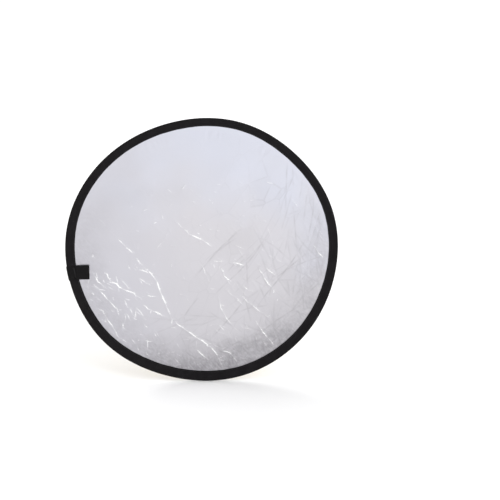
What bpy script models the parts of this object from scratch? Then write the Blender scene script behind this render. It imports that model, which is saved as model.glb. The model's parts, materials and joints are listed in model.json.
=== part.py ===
"""Collapsible photographic reflector disc: a spring-steel hoop, sewn into a fabric edge binding,
stretches a silver sheet and a gold sheet back to back. A webbing tab is wrapped round the rim.

The disc stands upright: +X to the right, +Z up, silver side facing -Y, gold side facing +Y.
The origin is the disc's centre, on the plane between the two sheets. Units are metres.

The hoop, binding and sheets flex as one when the disc is rolled up until its left and right rims
nearly meet. They are cut here into five upright strips, which turn about the lines between them.
"""

import math

import bmesh
import bpy

# Overall size
DISC_RADIUS = 0.300
RING_STEPS = 96  # facets round the rim
SHARP_ANGLE = math.radians(40)
MERGE_DISTANCE = 0.00001

# The five upright strips and the bend lines between them
STRIP_WIDTH = 0.120
BEND_LIMIT = math.radians(68)  # how far a strip turns against its neighbour, either way
CLEARANCE = 0.0003  # between pieces that touch

# Binding: one tape folded over the rim, flat where it is sewn and swollen round the hoop
TAPE = 0.0008
BINDING_INNER_RADIUS = 0.281
RAMP_START = 0.288  # radius where the tape starts to rise over the hoop
RAMP_END = 0.2948
BEAD_HALF = 0.0035  # half the rim's thickness at the hoop
RIM_CORNER = 0.0014
CORNER_POINTS = 4

# Sheets
SHEET = 0.0004
SHEET_GAP = CLEARANCE  # between the two sheets
SHEET_RADIUS = 0.2935

# Spring hoop: a flat band bent the easy way, its two ends butted inside a crimped ferrule
BAND_OUTER_RADIUS = 0.2985
BAND_THICKNESS = 0.0010
BAND_HEIGHT = 0.0036
BAND_END_GAP = 0.0005
FERRULE_WALL = 0.00035
FERRULE_PLAY = 0.00015
FERRULE_LENGTH = 0.024

# Tab: webbing wrapped round the rim, with a flat folded loop lying on the silver sheet
TAB_ANGLE = math.radians(189.5)
TAB_WIDTH = 0.0315
WEBBING = 0.0010
LOOP_END_RADIUS = 0.252
LOOP_SLOT = 0.0002
LOOP_ROOT_GAP = 0.0009
FOLD_STEPS = 8
TAB_AXIS_PROUD = 0.0001  # the loop's hinge line stands this far in front of its face
BARTACK_RADIUS = 0.2845
BARTACK_LENGTH = 0.024
BARTACK_WIDTH = 0.0024
BARTACK_PROUD = 0.0003
BARTACK_DEPTH = 0.0004

# Worked out from the above
SLIT = 2 * BEAD_HALF * math.tan(BEND_LIMIT / 2) + CLEARANCE
SHEET_FACE = SHEET_GAP / 2 + SHEET  # height of each sheet's outer face above the middle plane
TAPE_FLAT = SHEET_FACE + CLEARANCE + TAPE  # height of the tape's flat above the middle plane
BAND_INNER_RADIUS = BAND_OUTER_RADIUS - BAND_THICKNESS
TAB_AXIS_RADIUS = BINDING_INNER_RADIUS - LOOP_ROOT_GAP / 2
TAB_AXIS_HEIGHT = SHEET_FACE + CLEARANCE + 2 * WEBBING + LOOP_SLOT + TAB_AXIS_PROUD
REACH = DISC_RADIUS + 0.02  # how far the cutters reach past the rim

LEFT_TO_RIGHT = ("outer_left", "left", "centre", "right", "outer_right")
LEFT_EDGE = -STRIP_WIDTH * len(LEFT_TO_RIGHT) / 2
STRIPS = {
    name: (LEFT_EDGE + index * STRIP_WIDTH, LEFT_EDGE + (index + 1) * STRIP_WIDTH)
    for index, name in enumerate(LEFT_TO_RIGHT)
}
# Each stretch of rim, with the strip that it belongs to and whether it is above (1) or below (-1)
RIM_SECTIONS = {
    "left": ("outer_left", 0),
    "upper_left": ("left", 1),
    "lower_left": ("left", -1),
    "top": ("centre", 1),
    "bottom": ("centre", -1),
    "upper_right": ("right", 1),
    "lower_right": ("right", -1),
    "right": ("outer_right", 0),
}
# Which strip each strip turns against, at the bend line between the two
TURNS_AGAINST = {
    "left": "centre",
    "outer_left": "left",
    "right": "centre",
    "outer_right": "right",
}
TAB_STRIP = "outer_left"


def clear_scene():
    for obj in list(bpy.data.objects):
        bpy.data.objects.remove(obj)


def new_collection(name):
    collection = bpy.data.collections.new(name)
    bpy.context.scene.collection.children.link(collection)
    return collection


def new_material(name, colour, roughness, metallic=0.0):
    material = bpy.data.materials.new(name)
    material.use_nodes = True
    shader = material.node_tree.nodes["Principled BSDF"]
    shader.inputs["Base Color"].default_value = (*colour, 1.0)
    shader.inputs["Roughness"].default_value = roughness
    shader.inputs["Metallic"].default_value = metallic
    return material


def add_object(name, data, collection, material=None):
    obj = bpy.data.objects.new(name, data)
    collection.objects.link(obj)
    if material:
        data.materials.clear()
        data.materials.append(material)
    return obj


def bend_line(strip):
    """The x of the line that a strip turns about: its edge nearest the disc's centre."""
    low, high = STRIPS[strip]
    return high if "left" in strip else low


def add_hinges(collection):
    """An empty on each bend line, and one on the tab loop's, parented as the bodies are."""
    hinges = {}
    for strip, inner in TURNS_AGAINST.items():
        hinge = bpy.data.objects.new(f"bend_line_{strip}", None)
        hinge.empty_display_size = STRIP_WIDTH / 4
        collection.objects.link(hinge)
        offset = bend_line(strip)
        if inner in hinges:
            hinge.parent = hinges[inner]
            offset -= bend_line(inner)
        hinge.location.x = offset
        hinges[strip] = hinge
    tab_hinge = bpy.data.objects.new("tab_line", None)
    tab_hinge.empty_display_size = TAB_WIDTH
    collection.objects.link(tab_hinge)
    tab_hinge.parent = hinges[TAB_STRIP]
    tab_hinge.location = (
        TAB_AXIS_RADIUS * math.cos(TAB_ANGLE) - bend_line(TAB_STRIP),
        -TAB_AXIS_HEIGHT,
        TAB_AXIS_RADIUS * math.sin(TAB_ANGLE),
    )
    hinges["tab"] = tab_hinge
    bpy.context.view_layer.update()
    return hinges


def hang_on(obj, body, hinges):
    """Parents a piece to its body's hinge and leaves it where it is. The centre strip has none."""
    if body not in hinges:
        return
    obj.parent = hinges[body]
    obj.matrix_parent_inverse = hinges[body].matrix_world.inverted()


# Cutters


def box_cutter(name, x_range, y_range, z_range, cutters):
    """A box between the given limits, kept as a Boolean's operand only."""
    mesh = bpy.data.meshes.new(name)
    shape = bmesh.new()
    bmesh.ops.create_cube(shape, size=1.0)
    for vertex in shape.verts:
        for axis, (low, high) in enumerate((x_range, y_range, z_range)):
            vertex.co[axis] = low if vertex.co[axis] < 0 else high
    shape.to_mesh(mesh)
    shape.free()
    return as_cutter(add_object(name, mesh, cutters))


def as_cutter(obj):
    obj.hide_render = True
    obj.display_type = "WIRE"
    return obj


def strip_limits(strip):
    """The strip's left and right edges, drawn in by half a slit at each bend line."""
    low, high = STRIPS[strip]
    low = -REACH if strip == "outer_left" else low + SLIT / 2
    high = REACH if strip == "outer_right" else high - SLIT / 2
    return low, high


def strip_cutter(strip, cutters):
    depth = (-REACH, REACH)
    return box_cutter(f"cut_strip_{strip}", strip_limits(strip), depth, (-REACH, REACH), cutters)


def rim_cutter(section, cutters, x_range=None):
    """A box round one stretch of rim."""
    strip, side = RIM_SECTIONS[section]
    z_range = {0: (-REACH, REACH), 1: (0.0, REACH), -1: (-REACH, 0.0)}[side]
    name = f"cut_rim_{section}" if x_range is None else f"cut_rim_{section}_{x_range[0]:.3f}"
    return box_cutter(name, x_range or strip_limits(strip), (-REACH, REACH), z_range, cutters)


def add_boolean(obj, operation, operand):
    modifier = obj.modifiers.new(operation.title(), "BOOLEAN")
    modifier.operation = operation
    modifier.solver = "EXACT"
    modifier.object = operand


# Turned and extruded shapes


def profile_mesh(name, outline):
    """A closed outline of (radius, height) points, clockwise, in the mesh's XY plane."""
    mesh = bpy.data.meshes.new(name)
    count = len(outline)
    edges = [(index, (index + 1) % count) for index in range(count)]
    mesh.from_pydata([(radius, height, 0.0) for radius, height in outline], edges, [])
    return mesh


def turn(obj):
    """Turns the profile once round the disc's axis, +Y."""
    screw = obj.modifiers.new("Screw", "SCREW")
    screw.axis = "Y"
    screw.angle = math.tau
    screw.steps = RING_STEPS
    screw.render_steps = RING_STEPS
    screw.use_merge_vertices = True
    screw.merge_threshold = MERGE_DISTANCE
    screw.use_smooth_shade = True


def rectangle(inner_radius, outer_radius, half_height):
    """A rectangle as a clockwise outline."""
    return [
        (inner_radius, -half_height),
        (inner_radius, half_height),
        (outer_radius, half_height),
        (outer_radius, -half_height),
    ]


def rim_skin(inset):
    """The binding's outside, moved in by inset, as points from the back inner edge round the rim
    to the front inner edge."""
    corner = RIM_CORNER - inset
    corner_radius = DISC_RADIUS - RIM_CORNER
    corner_height = BEAD_HALF - RIM_CORNER
    back = [
        (BINDING_INNER_RADIUS, TAPE_FLAT - inset),
        (RAMP_START, TAPE_FLAT - inset),
        (RAMP_END, BEAD_HALF - inset),
    ]
    for index in range(CORNER_POINTS + 1):
        turned = math.radians(90 * (1 - index / CORNER_POINTS))
        back.append(
            (corner_radius + corner * math.cos(turned), corner_height + corner * math.sin(turned))
        )
    front = [(radius, -height) for radius, height in back]
    return back + front[::-1]


def hollow_section(outer_inset, inner_inset):
    """The outline of a wall that follows the rim, between two insets from the binding's outside."""
    return rim_skin(outer_inset) + rim_skin(inner_inset)[::-1]


def extruded(name, outline, width, collection, material):
    """A flat outline of (radius, height) points at the tab's place on the rim, width wide along
    the rim."""
    curve = bpy.data.curves.new(name, "CURVE")
    curve.dimensions = "2D"
    curve.fill_mode = "BOTH"
    curve.extrude = width / 2
    spline = curve.splines.new("POLY")
    spline.points.add(len(outline) - 1)
    spline.use_cyclic_u = True
    for point, (radius, height) in zip(spline.points, outline):
        point.co = (radius, height, 0.0, 1.0)
    obj = add_object(name, curve, collection, material)
    obj.rotation_euler = (0.0, -TAB_ANGLE, 0.0)
    return obj


def curve_to_mesh(obj, collection):
    """Replaces a curve object with a closed mesh of the same name, so that it can be cut."""
    bpy.context.view_layer.update()
    graph = bpy.context.evaluated_depsgraph_get()
    mesh = bpy.data.meshes.new_from_object(obj.evaluated_get(graph))
    shape = bmesh.new()
    shape.from_mesh(mesh)
    bmesh.ops.remove_doubles(shape, verts=shape.verts, dist=MERGE_DISTANCE)
    shape.to_mesh(mesh)
    shape.free()
    name, placed = obj.name, obj.matrix_world.copy()
    bpy.data.objects.remove(obj)
    solid = bpy.data.objects.new(name, mesh)
    collection.objects.link(solid)
    solid.matrix_world = placed
    return solid


# Pieces


def make_binding(parts, cutters, hinges, black_tape):
    """The folded tape, one object for each stretch of rim."""
    profile = profile_mesh("binding_profile", hollow_section(0.0, TAPE))
    for section, (strip, _) in RIM_SECTIONS.items():
        obj = add_object(f"rim_binding_{section}", profile, parts, black_tape)
        turn(obj)
        add_boolean(obj, "INTERSECT", rim_cutter(section, cutters))
        hang_on(obj, strip, hinges)


def band_section(grown):
    """The band's cross-section, grown all round."""
    low, high = BAND_INNER_RADIUS - grown, BAND_OUTER_RADIUS + grown
    return rectangle(low, high, BAND_HEIGHT / 2 + grown)


def make_hoop(parts, cutters, hinges, steel):
    """The spring band. Its bottom stretch is two, the band's ends, which meet in the ferrule."""
    profile = profile_mesh("band_profile", band_section(0.0))
    low, high = strip_limits("centre")
    stretches = {section: (section, None) for section in RIM_SECTIONS if section != "bottom"}
    stretches["end_left"] = ("bottom", (low, -BAND_END_GAP / 2))
    stretches["end_right"] = ("bottom", (BAND_END_GAP / 2, high))
    for name, (section, x_range) in stretches.items():
        obj = add_object(f"spring_band_{name}", profile, parts, steel)
        turn(obj)
        add_boolean(obj, "INTERSECT", rim_cutter(section, cutters, x_range))
        hang_on(obj, RIM_SECTIONS[section][0], hinges)


def make_ferrule(parts, cutters, steel):
    """The crimped sleeve over the band's two ends, at the bottom of the hoop."""
    bore_profile = profile_mesh("bore_profile", band_section(FERRULE_PLAY))
    bore = as_cutter(add_object("cut_ferrule_bore", bore_profile, cutters))
    turn(bore)
    profile = profile_mesh("ferrule_profile", band_section(FERRULE_PLAY + FERRULE_WALL))
    ferrule = add_object("band_ferrule", profile, parts, steel)
    turn(ferrule)
    half = FERRULE_LENGTH / 2
    add_boolean(ferrule, "INTERSECT", rim_cutter("bottom", cutters, (-half, half)))
    add_boolean(ferrule, "DIFFERENCE", bore)


def make_sheet(name, side, parts, cutters, hinges, material):
    """One round sheet, as five strips. side is -1 for the front and 1 for the back."""
    bpy.ops.mesh.primitive_cylinder_add(
        vertices=RING_STEPS, radius=SHEET_RADIUS, depth=SHEET, rotation=(math.pi / 2, 0.0, 0.0)
    )
    disc = bpy.context.object
    bpy.ops.object.transform_apply(location=False, rotation=True, scale=False)
    mesh = disc.data
    mesh.shade_smooth()
    mesh.set_sharp_from_angle(angle=SHARP_ANGLE)
    bpy.data.objects.remove(disc)
    for strip in LEFT_TO_RIGHT:
        obj = add_object(f"{name}_{strip}", mesh, parts, material)
        obj.location.y = side * (SHEET_GAP / 2 + SHEET / 2)
        add_boolean(obj, "INTERSECT", strip_cutter(strip, cutters))
        hang_on(obj, strip, hinges)


def make_tab_wrap(parts, cutters, hinges, webbing):
    """The webbing sewn round the rim, with a pocket front and back for its bar tacks."""
    outline = hollow_section(-CLEARANCE - WEBBING, -CLEARANCE)
    wrap = curve_to_mesh(extruded("tab_wrap", outline, TAB_WIDTH, parts, webbing), parts)
    for side, face in ((-1, "front"), (1, "back")):
        pocket = bartack_box(f"cut_bartack_{face}", side, CLEARANCE, cutters)
        add_boolean(wrap, "DIFFERENCE", as_cutter(pocket))
    hang_on(wrap, TAB_STRIP, hinges)


def bartack_box(name, side, spare, collection, material=None):
    """A bar of thread across the webbing, or with some spare the pocket that it sits in."""
    face = TAPE_FLAT + CLEARANCE + WEBBING
    low = face - BARTACK_DEPTH - spare
    high = face + BARTACK_PROUD + spare
    bpy.ops.mesh.primitive_cube_add(size=1.0)
    bar = bpy.context.object
    bar.scale = (BARTACK_WIDTH + 2 * spare, high - low, BARTACK_LENGTH + 2 * spare)
    bpy.ops.object.transform_apply(location=False, rotation=False, scale=True)
    mesh = bar.data
    bpy.data.objects.remove(bar)
    bar = add_object(name, mesh, collection, material)
    bar.rotation_euler = (0.0, -TAB_ANGLE, 0.0)
    bar.location = (
        BARTACK_RADIUS * math.cos(TAB_ANGLE),
        side * (low + high) / 2,
        BARTACK_RADIUS * math.sin(TAB_ANGLE),
    )
    return bar


def make_bartacks(parts, hinges, thread):
    """The bars of thread that hold the tab on the binding, front and back."""
    for side, face in ((-1, "front"), (1, "back")):
        bar = bartack_box(f"tab_bartack_{face}", side, 0.0, parts, thread)
        hang_on(bar, TAB_STRIP, hinges)


def make_tab_loop(parts, hinges, webbing):
    """Webbing folded back on itself, open at its root, lying flat on the silver sheet."""
    root = BINDING_INNER_RADIUS - LOOP_ROOT_GAP
    near = -(SHEET_FACE + CLEARANCE)
    far = near - 2 * WEBBING - LOOP_SLOT
    fold_height = (near + far) / 2
    fold_radius = (near - far) / 2
    fold_centre = LOOP_END_RADIUS + fold_radius

    def fold(radius):
        """Half a circle round the fold, from its side nearest the sheet to the far side."""
        turns = [math.pi * (0.5 + index / FOLD_STEPS) for index in range(FOLD_STEPS + 1)]
        return [
            (fold_centre + radius * math.cos(turn), fold_height + radius * math.sin(turn))
            for turn in turns
        ]

    outside = [(root, near), *fold(fold_radius), (root, far)]
    slot = LOOP_SLOT / 2
    inside = [(root, fold_height + slot), *fold(slot), (root, fold_height - slot)]
    loop = extruded("tab_loop", outside + inside[::-1], TAB_WIDTH, parts, webbing)
    hang_on(loop, "tab", hinges)


def main():
    clear_scene()
    parts = new_collection("reflector_disc")
    cutters = new_collection("cutters")
    hinges = add_hinges(parts)
    black_tape = new_material("black_tape", (0.012, 0.011, 0.012), 0.85)
    webbing = new_material("black_webbing", (0.011, 0.010, 0.011), 0.8)
    thread = new_material("black_thread", (0.02, 0.02, 0.02), 0.6)
    steel = new_material("spring_steel", (0.42, 0.43, 0.45), 0.35, metallic=1.0)
    silver = new_material("silver_sheet", (0.80, 0.79, 0.84), 0.35, metallic=1.0)
    gold = new_material("gold_sheet", (0.86, 0.66, 0.28), 0.35, metallic=1.0)

    make_hoop(parts, cutters, hinges, steel)
    make_ferrule(parts, cutters, steel)
    make_binding(parts, cutters, hinges, black_tape)
    make_sheet("silver_sheet", -1, parts, cutters, hinges, silver)
    make_sheet("gold_sheet", 1, parts, cutters, hinges, gold)
    make_tab_wrap(parts, cutters, hinges, webbing)
    make_bartacks(parts, hinges, thread)
    make_tab_loop(parts, hinges, webbing)


main()
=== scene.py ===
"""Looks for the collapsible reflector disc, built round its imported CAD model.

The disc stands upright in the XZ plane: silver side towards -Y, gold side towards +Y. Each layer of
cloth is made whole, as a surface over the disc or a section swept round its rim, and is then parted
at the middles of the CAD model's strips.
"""

import json
import math
from collections import namedtuple

import bpy
import numpy as np
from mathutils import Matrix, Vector


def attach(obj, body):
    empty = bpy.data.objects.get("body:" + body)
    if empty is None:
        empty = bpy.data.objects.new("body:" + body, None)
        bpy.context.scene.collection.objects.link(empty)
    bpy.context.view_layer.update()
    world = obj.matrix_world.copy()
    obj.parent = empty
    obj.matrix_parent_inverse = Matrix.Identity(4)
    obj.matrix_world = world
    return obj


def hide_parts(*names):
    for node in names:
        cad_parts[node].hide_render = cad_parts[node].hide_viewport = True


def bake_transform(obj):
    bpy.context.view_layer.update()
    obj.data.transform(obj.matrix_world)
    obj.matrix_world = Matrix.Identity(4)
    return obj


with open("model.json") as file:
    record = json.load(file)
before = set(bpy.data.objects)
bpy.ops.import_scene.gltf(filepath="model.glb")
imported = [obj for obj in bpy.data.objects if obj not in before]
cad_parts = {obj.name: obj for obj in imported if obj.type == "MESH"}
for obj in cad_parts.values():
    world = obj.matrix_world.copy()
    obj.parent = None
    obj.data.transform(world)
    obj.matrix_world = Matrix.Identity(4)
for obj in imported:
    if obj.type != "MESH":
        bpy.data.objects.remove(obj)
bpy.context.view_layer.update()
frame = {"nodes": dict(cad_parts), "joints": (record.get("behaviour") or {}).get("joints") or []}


# Sizes read from the frame


def reach(node, direction):
    """How far a CAD node reaches along a direction, at its least and at its most."""
    along = [corner.co.dot(direction) for corner in frame["nodes"][node].data.vertices]
    return min(along), max(along)


def radii(node):
    """The least and greatest distance of a CAD node's corners from the disc's axis."""
    from_axis = [math.hypot(corner.co.x, corner.co.z) for corner in frame["nodes"][node].data.vertices]
    return min(from_axis), max(from_axis)


JOINTS = {joint["name"]: joint for joint in frame["joints"]}
FRONT = Vector((0.0, -1.0, 0.0))
BINDING_INNER, DISC_RADIUS = radii("rim_binding_top")
BAND_INNER, BAND_OUTER = radii("spring_band_top")
BEAD_HALF = reach("rim_binding_top", FRONT)[1]
BAND_HALF = reach("spring_band_top", FRONT)[1]
FERRULE_HALF = reach("band_ferrule", Vector((1.0, 0.0, 0.0)))[1]

TAB_PIVOT = Vector(JOINTS["tab_lift"]["pos_m"])
TAB_ANGLE = math.atan2(TAB_PIVOT.z, TAB_PIVOT.x)
OUTWARD = Vector((math.cos(TAB_ANGLE), 0.0, math.sin(TAB_ANGLE)))  # along the tab, away from the disc
ACROSS = Vector((-math.sin(TAB_ANGLE), 0.0, math.cos(TAB_ANGLE)))  # across the tab
LOOP_END = reach("tab_loop", OUTWARD)[0]
TAB_HALF_WIDTH = reach("tab_loop", ACROSS)[1]

# Each zone of the cloth: the two bodies either side of its bend, and its bend line
ZONES = [
    ("outer_left", "left", JOINTS["left_outer_bend"]["pos_m"][0]),
    ("left", "centre", JOINTS["left_bend"]["pos_m"][0]),
    ("centre", "right", JOINTS["right_bend"]["pos_m"][0]),
    ("right", "outer_right", JOINTS["right_outer_bend"]["pos_m"][0]),
]
PARTINGS = [(here[2] + there[2]) / 2 for here, there in zip(ZONES, ZONES[1:])]


# Noise and creases

BEND_EVERY = 0.007  # creases kink about this often
KINK = 0.0008  # how far a fold's line strays between its corners
WORN_HIGHLIGHT_LINE = 0.0012  # half width of the pale line on a worn crease, which is also a painted highlight
FOLD_LINE = 0.0014  # half width of the painted shade line in a soft fold
LINE_PATCHES = 190  # how fast a crease's painted line turns patchy, in radians a metre
FOLD_DEPTH, FOLD_WIDTH = 0.0006, 0.003
CREASE_WIDTH = (0.002, 0.0035)
CLOSING = (0.95, 1.0)  # the share of a turn in which noise is eased to meet its start
# The short barbs that branch off a fold
BARB_DEPTH, BARB_WIDTH = 0.0003, 0.002
BARB_LENGTH = (0.004, 0.013)
BARB_HEADING = (-100, 20)
BARB_FAINTNESS = (0.2, 0.7)


def noise(x, y, scale, seed):
    """Smooth noise from -1 to 1, with features about one scale across."""
    x, y = np.asarray(x) / scale, np.asarray(y) / scale
    left, low = np.floor(x).astype(int), np.floor(y).astype(int)
    rng = np.random.default_rng(seed)
    size = 256
    turns = rng.uniform(0.0, math.tau, (size, size))
    fx, fy = x - left, y - low
    sx = fx * fx * fx * (fx * (fx * 6 - 15) + 10)
    sy = fy * fy * fy * (fy * (fy * 6 - 15) + 10)

    def corner(dx, dy):
        turn = turns[(left + dx) % size, (low + dy) % size]
        return np.cos(turn) * (fx - dx) + np.sin(turn) * (fy - dy)

    lower = corner(0, 0) * (1 - sx) + corner(1, 0) * sx
    upper = corner(0, 1) * (1 - sx) + corner(1, 1) * sx
    return (lower * (1 - sy) + upper * sy) * 1.5


def smoothstep(low, high, value):
    t = np.clip((value - low) / (high - low), 0.0, 1.0)
    return t * t * (3 - 2 * t)


def closed(noisy, turns, start):
    """A function of the turn round the disc, eased over its last part so that it meets its start."""
    late = smoothstep(*CLOSING, (turns - start) / math.tau)
    return noisy(turns) * (1 - late) + noisy(turns - math.tau) * late


def random_path(rng, group):
    """One crease's bent line, as points (x, z) in metres."""
    centre, spread = np.array(group.centre), np.array(group.spread)
    middle = centre + rng.uniform(-1.0, 1.0, 2) * spread
    length = rng.uniform(*group.length)
    heading = math.radians(rng.normal(group.heading, group.fan))
    pieces = max(2, int(length / BEND_EVERY))
    points = [np.zeros(2)]
    for _ in range(pieces):
        step = length / pieces * rng.uniform(0.6, 1.4)
        points.append(points[-1] + step * np.array([math.cos(heading), math.sin(heading)]))
        heading += math.radians(rng.normal(0.0, group.kink))
    return np.array(points) + middle - points[-1] / 2


def roughened_path(rng, corners):
    """A fold's line through its given corners, with small kinks between them."""
    corners = np.array(corners) / 1000
    points = [corners[0]]
    for start, end in zip(corners, corners[1:]):
        length = np.linalg.norm(end - start)
        aside = np.array([start[1] - end[1], end[0] - start[0]]) / length
        pieces = max(2, int(length / BEND_EVERY))
        for share in np.arange(1, pieces) / pieces:
            points.append(start + (end - start) * share + aside * rng.normal(0.0, KINK))
        points.append(end)
    return np.array(points)


def press_crease(height, mark, xs, path, rng, depth, width, bright, line_width):
    """Presses one crease into the height field, sharp at its crest, and paints a line along it into mark: a
    painted highlight on a light crease, a painted shade on a dark one.
    """
    margin = 5 * width
    low = np.searchsorted(xs, path.min(0) - margin)
    high = np.searchsorted(xs, path.max(0) + margin)
    if min(high - low) < 2:
        return
    x, z = np.meshgrid(xs[low[0] : high[0]], xs[low[1] : high[1]], indexing="ij")
    ridge, line = np.zeros_like(x), np.zeros_like(x)
    lengths = np.linalg.norm(np.diff(path, axis=0), axis=1)
    total, run = lengths.sum(), 0.0
    phase = rng.uniform(0.0, math.tau)
    for start, end, length in zip(path, path[1:], lengths):
        way = (end - start) / length
        along = np.clip((x - start[0]) * way[0] + (z - start[1]) * way[1], 0.0, length)
        gap = np.hypot(x - start[0] - along * way[0], z - start[1] - along * way[1])
        share = np.clip((run + along) / total, 0.0, 1.0)
        fade = np.sin(math.pi * share) ** 0.45
        patchy = 0.7 + 0.3 * np.sin(share * total * LINE_PATCHES + phase)
        ridge = np.maximum(ridge, fade * np.exp(-gap / width))
        line = np.maximum(line, fade * patchy * np.exp(-((gap / line_width) ** 2)))
        run += length
    window = (slice(low[0], high[0]), slice(low[1], high[1]))
    height[window] += depth * ridge
    mark[window] = np.maximum(mark[window], bright * line)


def creased(xs, folds, groups, seed):
    """The height of a sheet's creases in metres, and its light and dark crease lines from 0 to 1: the light
    ones pale worn cracks that are also a painted highlight, the dark ones painted shade.
    """
    rng = np.random.default_rng(seed)
    height = np.zeros((len(xs), len(xs)))
    light, painted_fold_shade = np.zeros_like(height), np.zeros_like(height)
    for bright, corners in folds:
        path = roughened_path(rng, corners)
        press_crease(height, light, xs, path, rng, FOLD_DEPTH * bright, FOLD_WIDTH, bright, WORN_HIGHLIGHT_LINE)
        for corner in path[1:-1:2]:
            heading = math.radians(rng.uniform(*BARB_HEADING))
            barb = np.array([math.cos(heading), math.sin(heading)]) * rng.uniform(*BARB_LENGTH)
            faint = bright * rng.uniform(*BARB_FAINTNESS)
            branch = np.array([corner, corner + barb])
            press_crease(height, light, xs, branch, rng, BARB_DEPTH * faint, BARB_WIDTH, faint, WORN_HIGHLIGHT_LINE)
    for group in groups:
        mark, line = (light, WORN_HIGHLIGHT_LINE) if group.light else (painted_fold_shade, FOLD_LINE)
        for _ in range(group.count):
            path = random_path(rng, group)
            depth = rng.uniform(*group.depth) / 1000
            width, bright = rng.uniform(*CREASE_WIDTH), rng.uniform(*group.bright)
            press_crease(height, mark, xs, path, rng, depth, width, bright, line)
    return height, light, painted_fold_shade


# Sheets

CELL = 0.0015
SHEET_RADIUS = BINDING_INNER + 0.011
SHEET_LIE = 0.0006  # each sheet's distance from the middle plane under the binding
SHEET_PUFF = 0.0008  # how much more it stands off inside the binding
SHEET_GIVE = 0.0009  # the most that creases move it
LONG_WAVE, SHORT_WAVE = 0.0022, 0.0009
GATHER = 0.0006
CRUSHING = (0.00003, 0.00012)  # height on sound film, and how much more where it is crushed

# The silver sheet's main folds: how bright each one's painted highlight is, which also scales its height,
# and its corners (x, z) in millimetres
SILVER_FOLDS = [
    (0.25, [(-250, 105), (-205, 50), (-185, 32)]),
    (0.8, [(-185, 30), (-165, 8), (-148, -5)]),
    (0.5, [(-146, -12), (-130, -33)]),
    (1.0, [(-132, -35), (-112, -51), (-100, -68), (-92, -93), (-80, -122), (-70, -150)]),
    (0.7, [(-152, -38), (-132, -43), (-112, -51)]),
    (1.0, [(-72, -150), (-38, -180), (-6, -203), (20, -222), (34, -244), (44, -265)]),
    (1.0, [(-218, -40), (-202, -66), (-176, -85), (-152, -95), (-132, -112)]),
    (0.9, [(-132, -122), (-120, -132), (-75, -152)]),
    (0.6, [(-142, -60), (-122, -74), (-107, -74)]),
    (0.8, [(-243, -42), (-230, -68), (-208, -86)]),
    (0.8, [(-240, -72), (-208, -110), (-180, -139)]),
    (0.7, [(-244, -124), (-220, -135), (-196, -177), (-180, -206), (-162, -220)]),
    (0.6, [(-172, -110), (-165, -128), (-153, -131)]),
    (0.6, [(-176, -162), (-171, -187)]),
    (0.7, [(-122, -101), (-96, -105)]),
    (0.9, [(-40, 50), (-22, 36), (2, 24), (22, 9)]),
    (0.4, [(-64, 76), (-47, 57), (-35, 46)]),
    (0.3, [(-112, -2), (-100, 5), (-70, 46)]),
    (0.5, [(-8, -25), (5, -43), (17, -73)]),
    (0.8, [(41, -38), (49, -58), (66, -73)]),
    (0.8, [(60, -26), (98, -34)]),
    (0.6, [(24, -22), (50, -25)]),
    (0.8, [(124, -40), (142, -70), (162, -98)]),
    (0.6, [(134, -34), (166, -61)]),
    (0.5, [(90, -79), (106, -96)]),
    (0.5, [(50, -88), (78, -110), (94, -130)]),
    (0.6, [(78, -97), (117, -131), (150, -156)]),
    (0.6, [(35, -101), (41, -131), (57, -160), (80, -186)]),
    (0.8, [(118, -160), (134, -188), (162, -221)]),
    (1.0, [(-14, -225), (14, -253)]),
    (0.7, [(36, -227), (61, -235), (78, -258)]),
    (0.6, [(196, 117), (210, 98)]),
    (0.7, [(244, 12), (268, -20)]),
    (0.4, [(212, 170), (225, 150)]),
]
# Creases scattered by rule: how many, where and how far about it (x, z) in metres, how long, heading
# with its spread and their kinks in degrees, height in millimetres, brightness of its painted line, and
# light (a pale worn crack that is also a painted highlight) or dark (a painted shade)
GROUP_FIELDS = "count centre spread length heading fan kink depth bright light"
Group = namedtuple("Group", GROUP_FIELDS, defaults=[False])
SILVER_CREASES = [
    # flecks and small cracks through the middle
    Group(150, (0.0, 0.02), (0.17, 0.14), (0.003, 0.018), -30, 35, 10, (0.05, 0.3), (0.1, 0.5), light=True),
    # faint scratches all over
    Group(80, (0.0, -0.04), (0.23, 0.20), (0.02, 0.08), -48, 14, 4, (0.02, 0.1), (0.07, 0.18), light=True),
    # small cracks by the tab and along the lower left rim
    Group(120, (-0.19, -0.13), (0.08, 0.12), (0.004, 0.04), -52, 22, 8, (0.05, 0.4), (0.1, 0.6), light=True),
    Group(80, (0.0, -0.22), (0.13, 0.05), (0.004, 0.03), -40, 30, 10, (0.05, 0.4), (0.1, 0.5), light=True),
    # straight folds that cross at the lower right, as painted shade lines with some painted highlight ones
    Group(30, (0.16, -0.12), (0.13, 0.13), (0.05, 0.20), 46, 9, 2, (-0.4, -0.1), (0.3, 1.0)),
    Group(30, (0.19, -0.09), (0.10, 0.16), (0.04, 0.13), -72, 20, 3, (-0.4, -0.1), (0.3, 0.9)),
    Group(30, (0.05, -0.20), (0.2, 0.07), (0.04, 0.13), 12, 24, 3, (-0.4, -0.1), (0.3, 0.9)),
    Group(60, (0.15, -0.10), (0.12, 0.15), (0.01, 0.06), -48, 14, 4, (0.05, 0.35), (0.1, 0.4), light=True),
    # faint folds up the right side
    Group(30, (0.23, 0.04), (0.05, 0.14), (0.04, 0.15), 84, 10, 2, (-0.25, 0.25), (0.3, 0.8)),
]
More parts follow.
